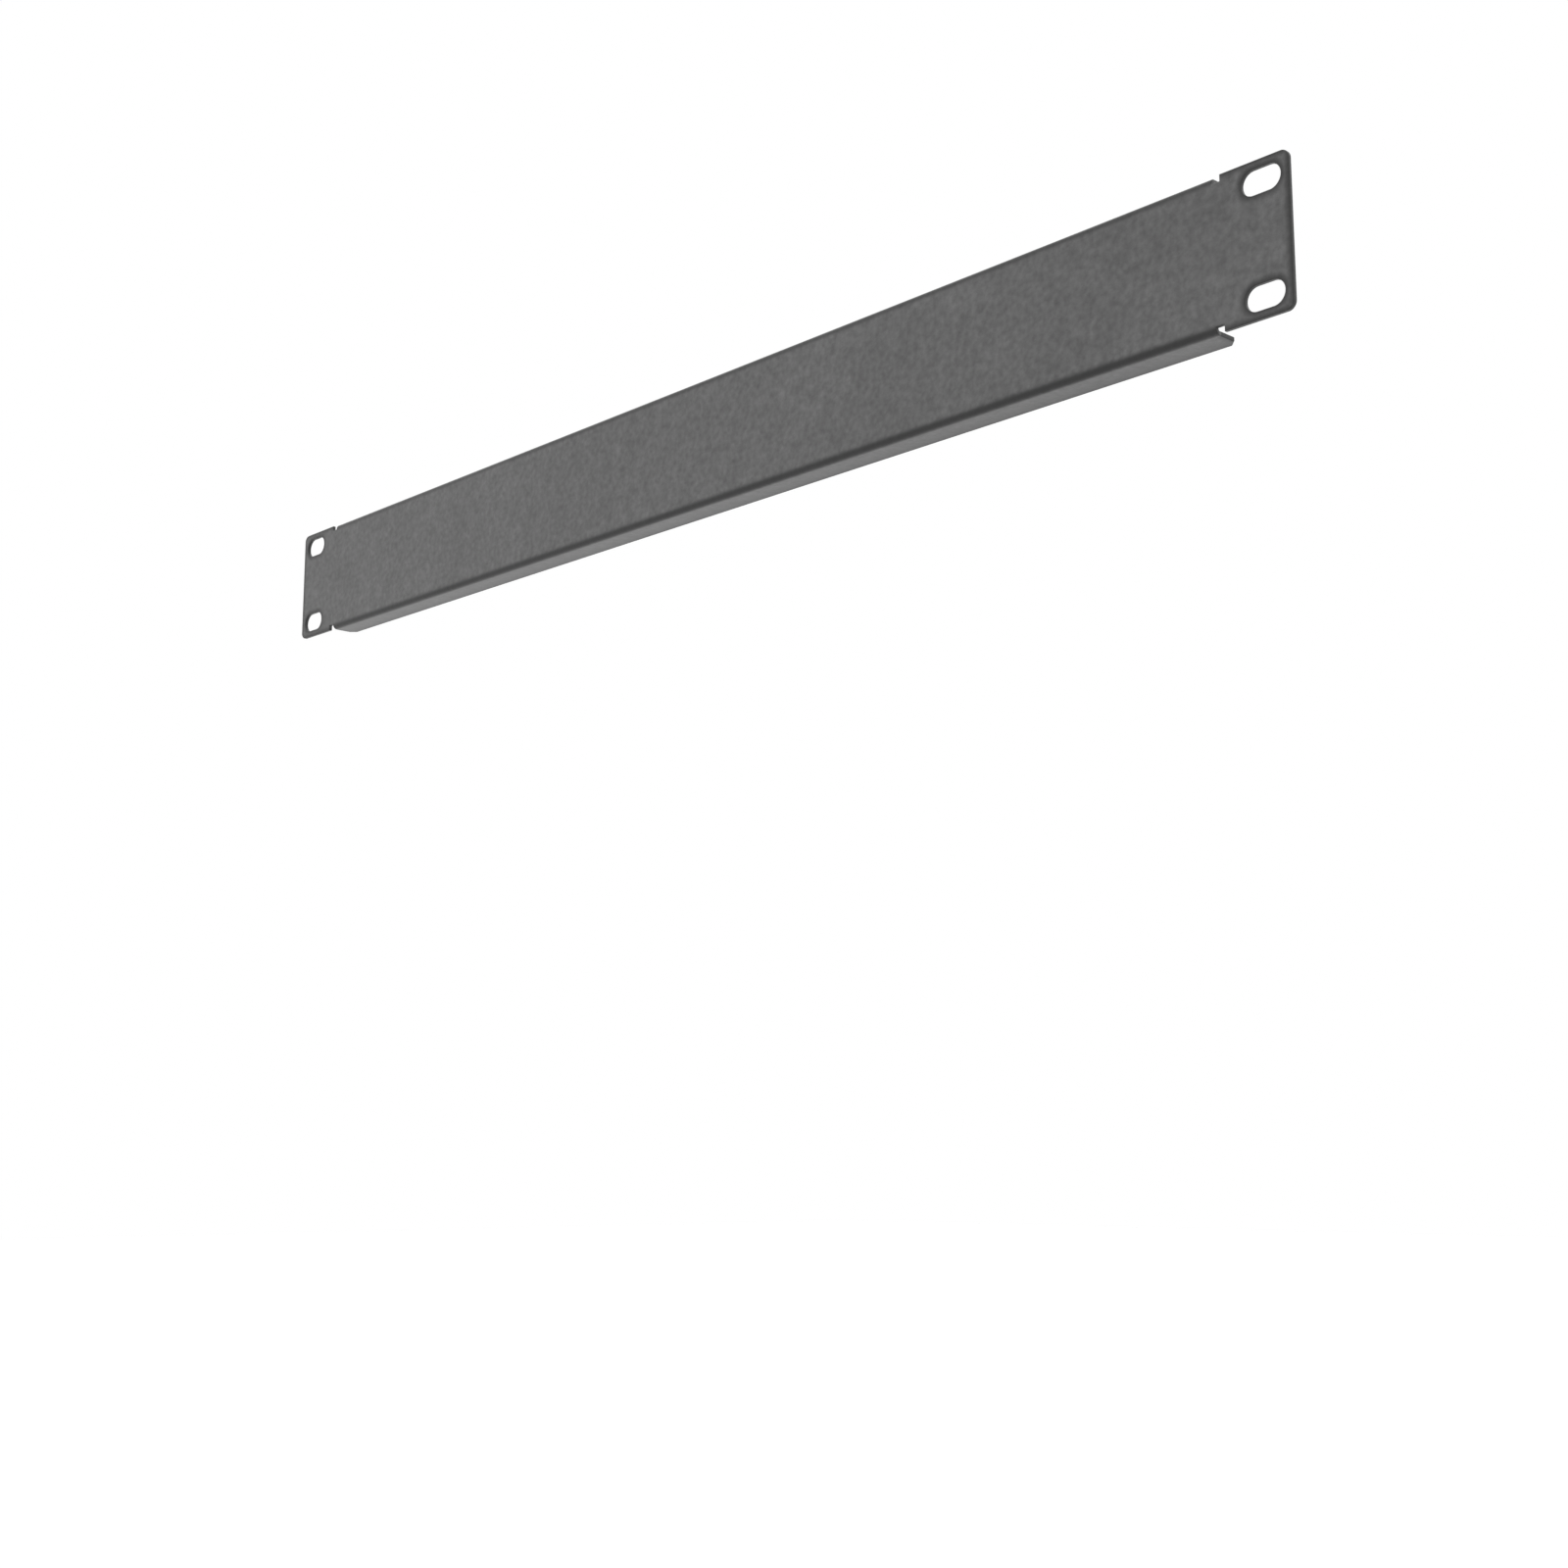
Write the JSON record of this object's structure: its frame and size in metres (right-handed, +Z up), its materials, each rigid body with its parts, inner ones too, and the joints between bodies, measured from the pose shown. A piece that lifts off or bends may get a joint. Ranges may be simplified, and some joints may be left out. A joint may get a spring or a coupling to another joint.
{
  "type": "rack blanking panel",
  "caption": "Flat steel panel that closes an empty space in an equipment rack, with slotted mounting ears and its long edges folded back into shallow flanges, powder coated dark grey",
  "frame": {"origin": "middle of the four mounting slots, on the plane where the rear of the ears meets the rack's rails", "axes": "+X across the rack, +Y back into the rack, +Z up; the front of the face looks along -Y"},
  "size_m": [0.4826, 0.0102, 0.0436],
  "materials": {
    "powder_coat": "satin, fine-texture powder coat"
  },
  "bodies": {
    "root": {"blanking_panel": "powder_coat"}
  },
  "joints": []
}
